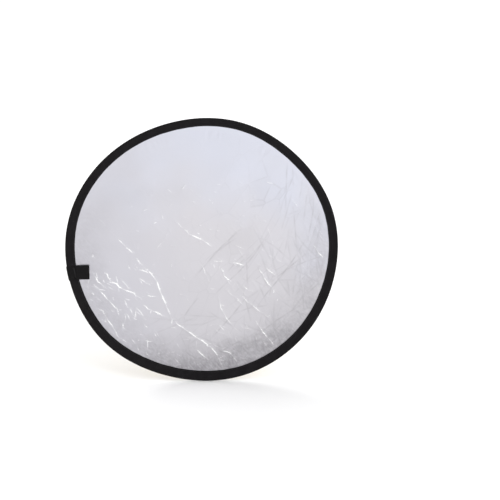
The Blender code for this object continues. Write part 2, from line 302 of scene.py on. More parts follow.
GOLD_CREASES = [
    # straight folds that cross, most of them on the lower half
    Group(46, (-0.06, -0.07), (0.20, 0.19), (0.04, 0.18), 35, 14, 2, (-0.6, -0.2), (0.3, 1.0)),
    Group(46, (-0.06, -0.08), (0.20, 0.19), (0.03, 0.14), -55, 20, 2, (-0.6, -0.2), (0.3, 1.0)),
    # level wrinkles low down, and fine ones at the top
    Group(34, (0.0, -0.16), (0.22, 0.10), (0.04, 0.14), 2, 8, 6, (-0.8, -0.3), (0.3, 1.0)),
    Group(30, (-0.02, 0.21), (0.16, 0.05), (0.03, 0.12), 172, 8, 3, (-0.2, 0.2), (0.1, 0.4)),
    # long straight folds with a painted highlight on the upper half, and small cracks
    Group(12, (-0.09, 0.10), (0.05, 0.05), (0.05, 0.14), 140, 9, 2, (0.1, 0.4), (0.2, 0.45), light=True),
    Group(5, (-0.07, 0.08), (0.03, 0.04), (0.04, 0.08), 75, 25, 2, (0.1, 0.4), (0.2, 0.4), light=True),
    Group(90, (-0.04, -0.04), (0.22, 0.20), (0.003, 0.02), 130, 40, 20, (0.05, 0.3), (0.1, 0.5), light=True),
]


def sway(x, z):
    """The slow waves that both sheets share, in metres."""
    radius = np.hypot(x, z)
    held = 1 - smoothstep(0.55 * BINDING_INNER, 0.97 * BINDING_INNER, radius)
    return held * (LONG_WAVE * noise(x, z, 0.17, 11) + SHORT_WAVE * noise(x, z, 0.07, 12))


def rim_puckers(x, z, seed):
    """Short radial gathers where a sheet is sewn into the binding, in metres."""
    radius = np.hypot(x, z)
    near = smoothstep(BINDING_INNER - 0.038, BINDING_INNER - 0.008, radius)

    def gathered(turn):
        gathers = noise(turn * DISC_RADIUS, radius * 0.25, 0.011, seed)
        patches = smoothstep(-0.1, 0.6, noise(turn * DISC_RADIUS, radius * 0.1, 0.09, seed + 1))
        return gathers * patches

    return GATHER * near * closed(gathered, np.arctan2(z, x), -math.pi)


def towards(x, z, side, angle):
    """How far a point lies towards an angle, seen from the sheet's own side, from -1 to 1."""
    return (-side * math.cos(angle) * x + math.sin(angle) * z) / DISC_RADIUS


def crumple(x, z, facing, crush, seed):
    """Where the film is crushed finely, from 0 to 1, and the height of the crushing in metres. Crush
    says how much along the lower rim, and how much more where facing is greatest."""
    # the crushed share also greys the film's colour: crushed film, and painted shade that is darker towards
    # the bottom and where facing is greatest
    radius = np.hypot(x, z) / BINDING_INNER
    worst = smoothstep(0.45, 0.9, facing + 0.15 * noise(x, z, 0.09, seed))
    by_rim = smoothstep(0.62, 0.98, radius + 0.06 * noise(x, z, 0.05, seed + 1))
    down = smoothstep(-0.6, 0.2, -z / DISC_RADIUS)
    crushed = np.clip(by_rim * (crush[0] * down + crush[1] * worst), 0.0, 1.0)
    ridges = 1 - 2 * np.abs(noise(x, z, 0.022, seed + 3)) - np.abs(noise(x, z, 0.009, seed + 4))
    return crushed, (CRUSHING[0] + CRUSHING[1] * crushed) * ridges


def painted_facet_spread(x, z, facing, seed):
    """How strongly facets are painted on the film as shade, from 0 to 1: most where facing is greatest."""
    patches = 0.8 + 0.5 * noise(x, z, 0.08, seed)
    return np.clip(smoothstep(-0.3, 0.4, facing + 0.2 * noise(x, z, 0.1, seed + 1)) * patches, 0.0, 1.0)


def sheet_surface(side, folds, groups, crushed_at, crush, faceted_at, seed):
    """One sheet over the whole disc: its x stations, its points, and its marks."""
    steps = int(SHEET_RADIUS / CELL)
    xs = np.arange(-steps, steps + 1) * CELL
    x, z = np.meshgrid(xs, xs, indexing="ij")
    height, light, painted_fold_shade = creased(xs, folds, groups, seed)
    crushed, crushing = crumple(x, z, towards(x, z, side, crushed_at), crush, seed + 10)
    faceted = painted_facet_spread(x, z, towards(x, z, side, faceted_at), seed + 30)
    height += rim_puckers(x, z, seed + 5) + crushing
    radius = np.hypot(x, z)
    free = 1 - smoothstep(BINDING_INNER - 0.016, BINDING_INNER - 0.004, radius)
    height = SHEET_GIVE * np.tanh(height / SHEET_GIVE) * free
    puff = SHEET_PUFF * (1 - smoothstep(0.75 * BINDING_INNER, BINDING_INNER - 0.003, radius))
    y = sway(x, z) + side * (SHEET_LIE + puff + height)
    # light marks: pale worn cracks that are also a painted highlight; dark marks and painted facets: painted
    # shade; crushed: crushed film, also greyed as painted shade
    marks = {"light": light * free, "painted_fold_shade": painted_fold_shade * free, "faceted": faceted * free, "crushed": crushed}
    return xs, np.stack([x, y, z], axis=-1), marks


def unit(vectors):
    return vectors / np.linalg.norm(vectors, axis=-1, keepdims=True)


def new_mesh(name, points, faces, normals, uv, layers):
    """A mesh that keeps only the points its faces use. Faces is a list of arrays of point numbers,
    one array for each count of corners."""
    used = np.unique(np.concatenate([block.ravel() for block in faces]))
    renumber = np.zeros(len(points), int)
    renumber[used] = np.arange(len(used))
    listed = [face for block in faces for face in renumber[block].tolist()]
    mesh = bpy.data.meshes.new(name)
    mesh.from_pydata(points[used].tolist(), [], listed)
    corners = np.zeros(len(mesh.loops), int)
    mesh.loops.foreach_get("vertex_index", corners)
    mesh.uv_layers.new(name="cloth").data.foreach_set("uv", uv[used][corners].astype(np.float32).ravel())
    for layer, values in layers.items():
        data = mesh.attributes.new(layer, "FLOAT", "POINT").data
        data.foreach_set("value", values[used].astype(np.float32))
    mesh.shade_smooth()
    mesh.normals_split_custom_set_from_vertices(normals[used].tolist())
    return mesh


def new_object(name, data):
    thing = bpy.data.objects.new(name, data)
    bpy.context.scene.collection.objects.link(thing)
    return thing


def new_piece(mesh, material):
    piece = new_object(mesh.name, mesh)
    mesh.materials.append(material)
    return piece


def bend(piece):
    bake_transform(piece)


def disc_area_between(low, high):
    """The area of the sheet's circle between two upright lines."""

    def up_to(x):
        x = max(-SHEET_RADIUS, min(SHEET_RADIUS, x))
        return x * math.sqrt(SHEET_RADIUS**2 - x * x) + SHEET_RADIUS**2 * math.asin(x / SHEET_RADIUS)

    return up_to(high) - up_to(low)


def make_sheet(name, side, material, **wear):
    """A sheet in four parts, one for each zone."""
    xs, points, marks = sheet_surface(side, **wear)
    inside = np.hypot(points[..., 0], points[..., 2]) <= SHEET_RADIUS
    cells = inside[:-1, :-1] & inside[1:, :-1] & inside[1:, 1:] & inside[:-1, 1:]
    slopes = [np.gradient(points, axis=axis) for axis in (0, 1)]
    normals = unit(np.cross(slopes[1], slopes[0])) * side
    index = np.arange(points.shape[0] * points.shape[1]).reshape(points.shape[:2])
    quads = np.stack([index[:-1, :-1], index[1:, :-1], index[1:, 1:], index[:-1, 1:]], axis=-1)
    if side > 0:
        quads = quads[..., ::-1]
    middles = (xs[:-1] + xs[1:]) / 2
    edges = [-DISC_RADIUS, *PARTINGS, DISC_RADIUS]
    for zone, (left, right) in enumerate(zip(edges, edges[1:])):
        chosen = cells & ((middles > left) & (middles < right))[:, None]
        mesh = new_mesh(
            f"{name}_{zone + 1}",
            points.reshape(-1, 3),
            [quads[chosen]],
            normals.reshape(-1, 3),
            points[..., ::2].reshape(-1, 2),
            {mark: values.ravel() for mark, values in marks.items()},
        )
        piece = new_piece(mesh, material)
        bend(piece)
        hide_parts(*[f"{name}_{body}" for body in ZONES[zone][:2]])
        low, high = max(left, -SHEET_RADIUS), min(right, SHEET_RADIUS)
        disc_area_between(low, high)


# Rim: everything that is swept round the disc

# The hoop isn't quite round: waves round the rim, their size in metres and their phase
HOOP_WAVES = [
    (3, 0.0012, math.radians(170)),
    (5, 0.0012, math.radians(45)),
    (7, 0.0005, math.radians(143)),
]
RIM_COLUMNS = 960
RIM_STEP = math.tau / RIM_COLUMNS
PARTING_COLUMNS = round(math.asin(PARTINGS[2] / ((BINDING_INNER + DISC_RADIUS) / 2)) / RIM_STEP)
HALF_TURN = RIM_COLUMNS // 2
# Each part of the rim: its first and last column, anticlockwise from the top, and its zone
RIM_PARTS = {
    "upper_left": (0, PARTING_COLUMNS, 1),
    "left": (PARTING_COLUMNS, HALF_TURN - PARTING_COLUMNS, 0),
    "lower_left": (HALF_TURN - PARTING_COLUMNS, HALF_TURN, 1),
    "lower_right": (HALF_TURN, HALF_TURN + PARTING_COLUMNS, 2),
    "right": (HALF_TURN + PARTING_COLUMNS, RIM_COLUMNS - PARTING_COLUMNS, 3),
    "upper_right": (RIM_COLUMNS - PARTING_COLUMNS, RIM_COLUMNS, 2),
}


def column_turns():
    """The angle of each column from +X, anticlockwise from the top, with the first one repeated."""
    return math.pi / 2 + np.arange(RIM_COLUMNS + 1) * RIM_STEP


def hoop_sway(turns):
    """How far the sprung hoop stands out from a true circle, in metres."""
    return sum(size * np.cos(waves * turns - phase) for waves, size, phase in HOOP_WAVES)


def on_circle(turns, radius, height=0.0):
    """Points round the disc's axis, at a height over its middle plane."""
    points = np.broadcast_arrays(radius * np.cos(turns), height, radius * np.sin(turns))
    return np.stack(points, axis=-1)


def round_circle(turns):
    """The directions that run round the disc's axis."""
    return np.stack([-np.sin(turns), np.zeros_like(turns), np.cos(turns)], axis=-1)


def swept_points(radius, height):
    """Points [row, column] of a section whose radius and height may change with the column."""
    turns = column_turns()
    return on_circle(turns, radius + hoop_sway(turns), height)


def swept_normals(points):
    """Outward normals of a closed section swept round the rim."""
    around = np.empty_like(points)
    around[:, 1:-1] = points[:, 2:] - points[:, :-2]
    around[:, 0] = around[:, -1] = points[:, 1] - points[:, -2]
    over = np.roll(points, -1, axis=0) - np.roll(points, 1, axis=0)
    return unit(np.cross(around, over))


def run_along(path):
    """How far along a path each of its points lies."""
    return np.concatenate([[0.0], np.cumsum(np.linalg.norm(np.diff(path, axis=0), axis=1))])


def closed_mesh(name, points, normals, uv, columns, flipped=False):
    """The chosen columns of a section's points [row, column], as a closed body with capped ends.
    Flipped is for a section that runs the other way round."""
    index = np.arange(points.shape[0] * points.shape[1]).reshape(points.shape[:2])[:, columns]
    ring = np.vstack([index, index[:1]])
    quads = np.stack([ring[:-1, :-1], ring[:-1, 1:], ring[1:, 1:], ring[1:, :-1]], axis=-1)
    faces = [quads.reshape(-1, 4), index[None, :, 0], index[None, ::-1, -1]]
    if flipped:
        faces = [faces[0][:, [0, 3, 2, 1]], faces[1][:, ::-1], faces[2][:, ::-1]]
    points, normals, uv = (array.reshape(-1, array.shape[-1]) for array in (points, normals, uv))
    return new_mesh(name, points, faces, normals, uv, {})


def make_swept(name, radius, height, material, slot, layer, in_centre):
    """A closed section swept round the rim, in six parts. Each stands for the layer's CAD node of the
    same name, and for the one that in_centre names on the centre strip."""
    stands_for = {part: [f"{layer}_{part}"] for part in RIM_PARTS}
    for part, place in in_centre.items():
        stands_for[part].append(f"{layer}_{place}")
    points = swept_points(radius, height)
    normals = swept_normals(points)
    over = run_along(points[:, 0])
    round_rim = np.arange(RIM_COLUMNS + 1) * RIM_STEP * DISC_RADIUS
    uv = np.stack(np.broadcast_arrays(round_rim[None, :], over[:, None]), axis=-1)
    for part, (first, last, zone) in RIM_PARTS.items():
        mesh = closed_mesh(f"{name}_{part}", points, normals, uv, slice(first, last + 1))
        piece = new_piece(mesh, material)
        bend(piece)
        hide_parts(*stands_for[part])


# Binding and band

TAPE = 0.0005
TAPE_WIDER = 0.0016  # how much wider than the CAD's the sewn tape is, on average
TAPE_LEAN = 0.0023  # how much wider still it is at the bottom, and narrower at the top
TAPE_LEAN_TURN = math.radians(262)  # where it is widest
TAPE_STRAY, TAPE_WAVER = 0.0006, 0.0003  # how far its edge strays, slowly and quickly
TAPE_WAVES, TAPE_SWELL = 0.00016, 0.00012  # height of its short waves where sewn, and of its long ones
TAPE_FLAT = 0.0015  # half the rim's thickness where it is sewn
SEAM_RADIUS = BINDING_INNER + 0.0022
SEAM_DIP, SEAM_DIP_WIDTH = 0.0003, 0.0013
SEAM_PULL, SEAM_PULL_WIDTH = 0.00010, 0.002
RAMP = (BINDING_INNER + 0.0065, BINDING_INNER + 0.0145)
ROUND_START = DISC_RADIUS - 0.0036
FLAT_ROWS = 16
ROUND_ROWS = 8
STITCH_PITCH = 0.0040
STITCH = dict(length=0.0031, radius=0.00024, sink=0.0004)
STITCH_PROUD = 0.00012
BAND_POINTS = 24
BAND_ROUNDNESS = 0.3
FERRULE_ROUNDNESS = 0.4
FERRULE_WALL = 0.0004


def tape_skin(inset):
    """Half the binding's section, inner edge to outermost: radius, and height over the middle."""
    radius = np.linspace(BINDING_INNER, ROUND_START, FLAT_ROWS, endpoint=False)
    height = TAPE_FLAT + (BEAD_HALF - TAPE_FLAT) * smoothstep(*RAMP, radius)
    height = height - SEAM_DIP * np.exp(-(((radius - SEAM_RADIUS) / SEAM_DIP_WIDTH) ** 2)) - inset
    turn = np.linspace(math.pi / 2, 0.0, ROUND_ROWS)
    round_radius = ROUND_START + (DISC_RADIUS - ROUND_START - inset) * np.cos(turn) ** (2 / 3)
    round_height = (BEAD_HALF - inset) * np.sin(turn) ** (2 / 3)
    return np.concatenate([radius, round_radius]), np.concatenate([height, round_height])


def seam_wander(turns, side):
    """How far the tape's sewn edge strays from its circle, in metres, on one side of the disc."""

    def stray(turns):
        run = turns * DISC_RADIUS
        slow = noise(run, run * 0.1, 0.11, 21 + side)
        return TAPE_STRAY * slow + TAPE_WAVER * noise(run, run * 0.1, 0.02, 24 + side)

    lean = -TAPE_WIDER - TAPE_LEAN * np.cos(turns - TAPE_LEAN_TURN)
    return lean + closed(stray, turns, math.pi / 2)


def tape_ripple(radius, turns, side):
    """Small waves in the sewn tape, in metres."""
    sewn = 1 - smoothstep(RAMP[0], ROUND_START, radius)
    by_seam = np.exp(-(((radius - SEAM_RADIUS) / SEAM_PULL_WIDTH) ** 2))

    def rippled(turns):
        run = turns * DISC_RADIUS
        waves = TAPE_WAVES * noise(run + 0.8 * radius, radius * 0.4, 0.007, 31 + side)
        pull = SEAM_PULL * np.cos(math.tau * run / STITCH_PITCH) * by_seam
        return sewn * (waves + pull) + TAPE_SWELL * noise(run, radius, 0.03, 34 + side)

    return closed(rippled, turns, math.pi / 2)


def binding_side(side, inset):
    """The tape on one side of the disc: radius and height [row, column], inner edge outwards."""
    turns = column_turns()[None, :]
    radius, height = (values[:, None] for values in tape_skin(inset))
    loose = np.clip((ROUND_START - radius) / (ROUND_START - BINDING_INNER), 0.0, 1.0)
    rippled = height + tape_ripple(radius, turns, side) * (height > TAPE)
    return radius + loose * seam_wander(turns, side), side * rippled


def binding_section():
    """The folded tape's closed section: front edge round the outside to the back edge, and back."""
    front = binding_side(-1, 0.0)
    back = binding_side(1, 0.0)
    front_inside = binding_side(-1, TAPE)
    back_inside = binding_side(1, TAPE)
    stacked = []
    for which in (0, 1):
        outside = [front[which], back[which][-2::-1]]
        inside = [back_inside[which], front_inside[which][-2::-1]]
        stacked.append(np.concatenate(outside + inside))
    return stacked


def make_binding(material):
    in_centre = {"upper_left": "top", "upper_right": "top", "lower_left": "bottom", "lower_right": "bottom"}
    make_swept("binding", *binding_section(), material, "binding_tape", "rim_binding", in_centre)


def band_outline(spare, roundness):
    """A flat band's closed section with rounded edges, spare metres larger all round."""
    turn = np.linspace(0.0, math.tau, BAND_POINTS, endpoint=False)
    middle, half = (BAND_INNER + BAND_OUTER) / 2, (BAND_OUTER - BAND_INNER) / 2
    across = np.sign(np.cos(turn)) * np.abs(np.cos(turn)) ** roundness
    up = np.sign(np.sin(turn)) * np.abs(np.sin(turn)) ** roundness
    radius = middle + (half + spare) * across
    return np.repeat(radius[:, None], RIM_COLUMNS + 1, axis=1), (BAND_HALF + spare) * up[:, None]


def make_band(material):
    """The spring band inside the rim."""
    in_centre = {
        "upper_left": "top",
        "upper_right": "top",
        "lower_left": "end_left",
        "lower_right": "end_right",
    }
    section = band_outline(0.0, BAND_ROUNDNESS)
    make_swept("band", *section, material, "spring_steel", "spring_band", in_centre)


def make_ferrule(material):
    """The flattened sleeve that joins the band's two ends at the bottom."""
    points = swept_points(*band_outline(FERRULE_WALL, FERRULE_ROUNDNESS))
    normals = swept_normals(points)
    uv = np.stack([points[..., 0], points[..., 1]], axis=-1)
    columns = round(FERRULE_HALF / DISC_RADIUS / RIM_STEP)
    chosen = slice(HALF_TURN - columns, HALF_TURN + columns + 1)
    mesh = closed_mesh("ferrule", points, normals, uv, chosen)
    piece = new_piece(mesh, material)
    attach(piece, "centre")
    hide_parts("band_ferrule")


# Thread

# A stitch's stations along its length, and its thickness at each, as shares
STITCH_STATIONS = np.array([-0.5, -0.44, -0.25, 0.0, 0.25, 0.44, 0.5])
STITCH_THICKNESS = np.array([0.15, 0.7, 1.0, 1.0, 1.0, 0.7, 0.15])
STITCH_SIDES = 6


def stitch_mesh(name, centres, alongs, side, length, radius, sink):
    """Many stitches in one mesh. Each lies at its centre, along its direction, and dips at its ends."""
    stations, thick = STITCH_STATIONS * length, STITCH_THICKNESS * radius
    turns = np.arange(STITCH_SIDES) * math.tau / STITCH_SIDES
    out = np.array([0.0, side, 0.0])
    points, faces, normals = [], [], []
    for centre, along in zip(centres, alongs):
        across = np.cross(along, out)
        first = len(points)
        for station, thickness in zip(stations, thick):
            middle = centre + along * station - out * sink * (2 * station / length) ** 4
            for turn in turns:
                direction = across * math.cos(turn) + out * math.sin(turn)
                points.append(middle + direction * thickness)
                normals.append(direction)
        rings = np.arange(first, len(points)).reshape(len(stations), STITCH_SIDES)
        rolled = np.roll(rings, -1, axis=1)
        quads = np.stack([rings[:-1], rings[1:], rolled[1:], rolled[:-1]], axis=-1).reshape(-1, 4)
        faces.append((quads, [rings[0], rings[-1, ::-1]]))
    quads = np.concatenate([quads for quads, _ in faces])
    caps = np.array([cap for _, pair in faces for cap in pair])
    points, normals = np.array(points), np.array(normals)
    grid = np.meshgrid(turns * radius, stations)
    uv = np.tile(np.stack(grid, axis=-1).reshape(-1, 2), (len(centres), 1))
    return new_mesh(name, points, [quads, caps], normals, uv, {})


def make_seam(side, name, material):
    """The row of stitches along the binding's sewn edge, on one side of the disc."""
    count = round(math.tau * SEAM_RADIUS / STITCH_PITCH)
    turns = math.pi / 2 + (np.arange(count) + 0.5) * math.tau / count
    wander = seam_wander(turns, side) * (ROUND_START - SEAM_RADIUS) / (ROUND_START - BINDING_INNER)
    radius = SEAM_RADIUS + wander + hoop_sway(turns)
    ripple = tape_ripple(np.full_like(turns, SEAM_RADIUS), turns, side)
    heights = TAPE_FLAT - SEAM_DIP + STITCH_PROUD + ripple
    centres = on_circle(turns, radius, side * heights)
    alongs = round_circle(turns)
    columns = (turns - math.pi / 2) / RIM_STEP
    for part, (first, last, zone) in RIM_PARTS.items():
        chosen = (columns > first) & (columns < last)
        mesh = stitch_mesh(f"seam_{name}_{part}", centres[chosen], alongs[chosen], side, **STITCH)
        bend(new_piece(mesh, material))


# Tab

WEBBING = 0.0011
RIB_PITCH = 0.0016
RIB_SWELL = 0.10  # how much thicker the webbing is on a rib, as a share
STRAP_CELLS = 22
WRAP_GAP = 0.0002  # between the tape and the webbing round it
LOOP_SKEW = math.radians(-8)  # the loop lies a little askew, near to level
LOOP_TURN_RADIUS = DISC_RADIUS * 0.94  # about its root
LOOP_ROOT = 0.0012  # how far outside the binding's inner edge the loop starts
LOOP_UNDER = 0.0030  # height of its under ply over the middle plane, at its root
LOOP_LIFT = 0.0012  # how far its fold lifts off the sheet
LOOP_FLARE = 0.0006  # how far each ply spreads from the other at the fold
LOOP_SAG = 0.0002  # how much less the upper one does
LOOP_POINTS = 16
FOLD_POINTS = 14
BARTACK = dict(length=0.0030, radius=0.00028, sink=0.0003)
BARTACK_PROUD = 0.0004  # its height over the webbing
BARTACK_OUTSIDE = 0.0012  # how far outside the seam it lies
BARTACK_COUNT = 26
BARTACK_SHARE = 0.78  # of the tab's width
BARTACK_LEAN = 0.35


def strap_section():
    """Webbing's section with rounded selvedges, as shares of its half width and half thickness."""
    flat = np.linspace(-1.0, 1.0, STRAP_CELLS + 1)
    selvedge = 0.9 * WEBBING / 2 / TAB_HALF_WIDTH
    edge = [math.radians(angle) for angle in (60, 30, 0, -30, -60)]
    section = [(t, 1.0) for t in flat]
    section += [(1.0 + selvedge * math.cos(a), math.sin(a)) for a in edge]
    section += [(t, -1.0) for t in flat[::-1]]
    section += [(-1.0 - selvedge * math.cos(a), -math.sin(a)) for a in edge]
    return np.array(section)


def strap_mesh(name, path, place):
    """Webbing along a path of (outward, front) points, as a closed band with rounded selvedges.
    place turns (outward, front, across) into a point."""
    run = run_along(path)
    ways = unit(np.gradient(path, run, axis=0))
    faces_out = np.stack([-ways[:, 1], ways[:, 0]], axis=-1)
    section = strap_section()
    half = WEBBING / 2
    ribs = 1 + RIB_SWELL * np.cos(math.tau * run / RIB_PITCH)
    points = np.zeros((len(section), len(path), 3))
    for column, (spot, out, swell) in enumerate(zip(path, faces_out, ribs)):
        for row, (across, side) in enumerate(section):
            outward, front = spot + out * side * half * swell
            points[row, column] = place(outward, front, across * (TAB_HALF_WIDTH - half))
    over = run_along(points[:, 0])
    uv = np.stack(np.broadcast_arrays(run[None, :], over[:, None]), axis=-1)
    around = np.gradient(points, axis=1)
    across_section = np.roll(points, -1, axis=0) - np.roll(points, 1, axis=0)
    normals = unit(np.cross(across_section, around))
    return closed_mesh(name, points, normals, uv, slice(None), flipped=True)


def on_rim(outward, front, across):
    """A point on the rim by the tab, where across runs round the rim."""
    turn = TAB_ANGLE + across / DISC_RADIUS
    outward += hoop_sway(turn)
    return outward * math.cos(turn), -front, outward * math.sin(turn)


def resampled(path, spacing):
    """The same path with points at an even spacing."""
    path = np.array(path)
    run = run_along(path)
    even = np.linspace(0.0, run[-1], max(3, round(run[-1] / spacing)))
    return np.stack([np.interp(even, run, path[:, axis]) for axis in (0, 1)], axis=-1)


def make_tab_wrap(material):
    """Webbing from the front of the rim round its edge to the back."""
    radius, height = tape_skin(-WRAP_GAP - WEBBING / 2)
    front = np.stack([radius, height], axis=-1)
    path = resampled(np.concatenate([front, front[-2::-1] * [1, -1]]), RIB_PITCH / 4)
    mesh = strap_mesh("tab_wrap_cloth", path, on_rim)
    piece = new_piece(mesh, material)
    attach(piece, "outer_left")
    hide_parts("tab_wrap")


def on_sheet(outward, front, across):
    """A point of the tab's loop, turned a little about its root."""
    along = outward - LOOP_TURN_RADIUS
    turned = along * math.cos(LOOP_SKEW) - across * math.sin(LOOP_SKEW)
    aside = along * math.sin(LOOP_SKEW) + across * math.cos(LOOP_SKEW)
    point = OUTWARD * (LOOP_TURN_RADIUS + turned) + ACROSS * aside
    return point.x, -front, point.z


def make_tab_loop(material):
    """The loop: under ply from its root to the fold, and upper ply back, a little apart."""
    root = BINDING_INNER + LOOP_ROOT
    low, high = LOOP_UNDER, LOOP_UNDER + WEBBING * 1.25
    tip_low = low - LOOP_FLARE + LOOP_LIFT
    tip_high = high - LOOP_SAG + LOOP_LIFT + LOOP_FLARE
    fold_radius = (tip_high - tip_low) / 2
    fold = LOOP_END + fold_radius + WEBBING / 2
    shares = np.linspace(0, 1, LOOP_POINTS)
    under = [(root + (fold - root) * t, low + (tip_low - low) * t * t) for t in shares]
    over = [(fold + (root - fold) * t, tip_high + (high - tip_high) * t**0.8) for t in shares]
    middle = (tip_low + tip_high) / 2
    turns = np.linspace(-math.pi / 2, -3 * math.pi / 2, FOLD_POINTS)[1:-1]
    round_fold = [(fold + fold_radius * math.cos(t), middle + fold_radius * math.sin(t)) for t in turns]
    path = resampled(under + round_fold + over, RIB_PITCH / 4)
    mesh = strap_mesh("tab_loop_cloth", path, on_sheet)
    piece = new_piece(mesh, material)
    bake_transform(piece)
    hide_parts("tab_loop")


def make_bartack(side, name, material):
    """A dense zigzag of thread across the tab, over the sewn part of the rim."""
    half = TAB_HALF_WIDTH * BARTACK_SHARE
    height = TAPE_FLAT + WEBBING + BARTACK_PROUD
    across = np.linspace(-half, half, BARTACK_COUNT)
    lean = np.where(np.arange(BARTACK_COUNT) % 2 == 0, 1.0, -1.0) * BARTACK_LEAN
    turns = TAB_ANGLE + across / DISC_RADIUS
    radius = SEAM_RADIUS + BARTACK_OUTSIDE + hoop_sway(turns)
    centres = on_circle(turns, radius, side * height)
    alongs = unit(on_circle(turns, 1.0) + round_circle(turns) * lean[:, None])
    mesh = stitch_mesh(f"bartack_{name}", centres, alongs, side, **BARTACK)
    piece = new_piece(mesh, material)
    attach(piece, "outer_left")
    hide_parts(f"tab_bartack_{name}")


# Materials


class Nodes:
    """The nodes of a material or a world, made one at a time and joined as they are made."""

    def __init__(self, owner, shader="Principled BSDF"):
        self.owner = owner
        self.owner.use_nodes = True
        self.tree = owner.node_tree
        self.shader = self.tree.nodes[shader]

    def add(self, kind, inputs=None, **settings):
        node = self.tree.nodes.new(kind)
        for key, value in settings.items():
            setattr(node, key, value)
        for key, value in (inputs or {}).items():
            self.set(node.inputs[key], value)
        return node

    def set(self, socket, value):
        if isinstance(value, bpy.types.NodeSocket):
            self.tree.links.new(value, socket)
        else:
            socket.default_value = value

    def math(self, operation, first, second=0.0):
        node = self.add("ShaderNodeMath", operation=operation)
        self.set(node.inputs[0], first)
        self.set(node.inputs[1], second)
        return node.outputs[0]

    def times(self, first, second):
        return self.math("MULTIPLY", first, second)

    def split(self, vector):
        return self.add("ShaderNodeSeparateXYZ", {"Vector": vector}).outputs

    def mix(self, share, first, second):
        node = self.add("ShaderNodeMix", data_type="RGBA")
        self.set(node.inputs["Factor"], share)
        self.set(node.inputs["A"], first if isinstance(first, bpy.types.NodeSocket) else (*first, 1.0))
        self.set(node.inputs["B"], second if isinstance(second, bpy.types.NodeSocket) else (*second, 1.0))
        return node.outputs["Result"]

    def between(self, value, low, high):
        """A value from 0 to 1, spread over low to high."""
        node = self.add("ShaderNodeMapRange", {"Value": value, "To Min": low, "To Max": high})
        return node.outputs["Result"]

    def steps(self, value, low, high, least=0.0, most=1.0):
        """Least below low and most above high, smooth between them."""
        inputs = {"Value": value, "From Min": low, "From Max": high, "To Min": least, "To Max": most}
        return self.add("ShaderNodeMapRange", inputs, interpolation_type="SMOOTHSTEP").outputs["Result"]

    def cloud(self, where, scale, detail=3.0, roughness=0.5):
        inputs = {"Vector": where, "Scale": scale, "Detail": detail, "Roughness": roughness}
        return self.add("ShaderNodeTexNoise", inputs).outputs["Fac"]

    def turned(self, where, angle, stretch):
        """Coordinates turned by an angle, then stretched along the turned axes."""
        inputs = {"Vector": where, "Rotation": (0.0, 0.0, angle), "Scale": stretch}
        return self.add("ShaderNodeMapping", inputs, vector_type="TEXTURE").outputs["Vector"]

    def attribute(self, name):
        return self.add("ShaderNodeAttribute", attribute_name=name).outputs["Fac"]

    def uv(self):
        return self.add("ShaderNodeUVMap", uv_map="cloth").outputs["UV"]

    def bump(self, height, strength, distance):
        previous = self.shader.inputs["Normal"].links
        inputs = {"Height": height, "Strength": strength, "Distance": distance}
        if previous:
            inputs["Normal"] = previous[0].from_socket
        self.set(self.shader.inputs["Normal"], self.add("ShaderNodeBump", inputs).outputs["Normal"])

    def finish(self, **inputs):
        for key, value in inputs.items():
            self.set(self.shader.inputs[key.replace("_", " ")], value)
        return self.owner


def woven(nodes, across, along):
    """The height of a plain weave, from its threads' pitches in metres."""
    place = nodes.split(nodes.uv())
    warp = nodes.math("SINE", nodes.times(place["X"], math.tau / along))
    weft = nodes.math("SINE", nodes.times(place["Y"], math.tau / across))
    return nodes.between(nodes.times(warp, weft), 0.5, 1.0)


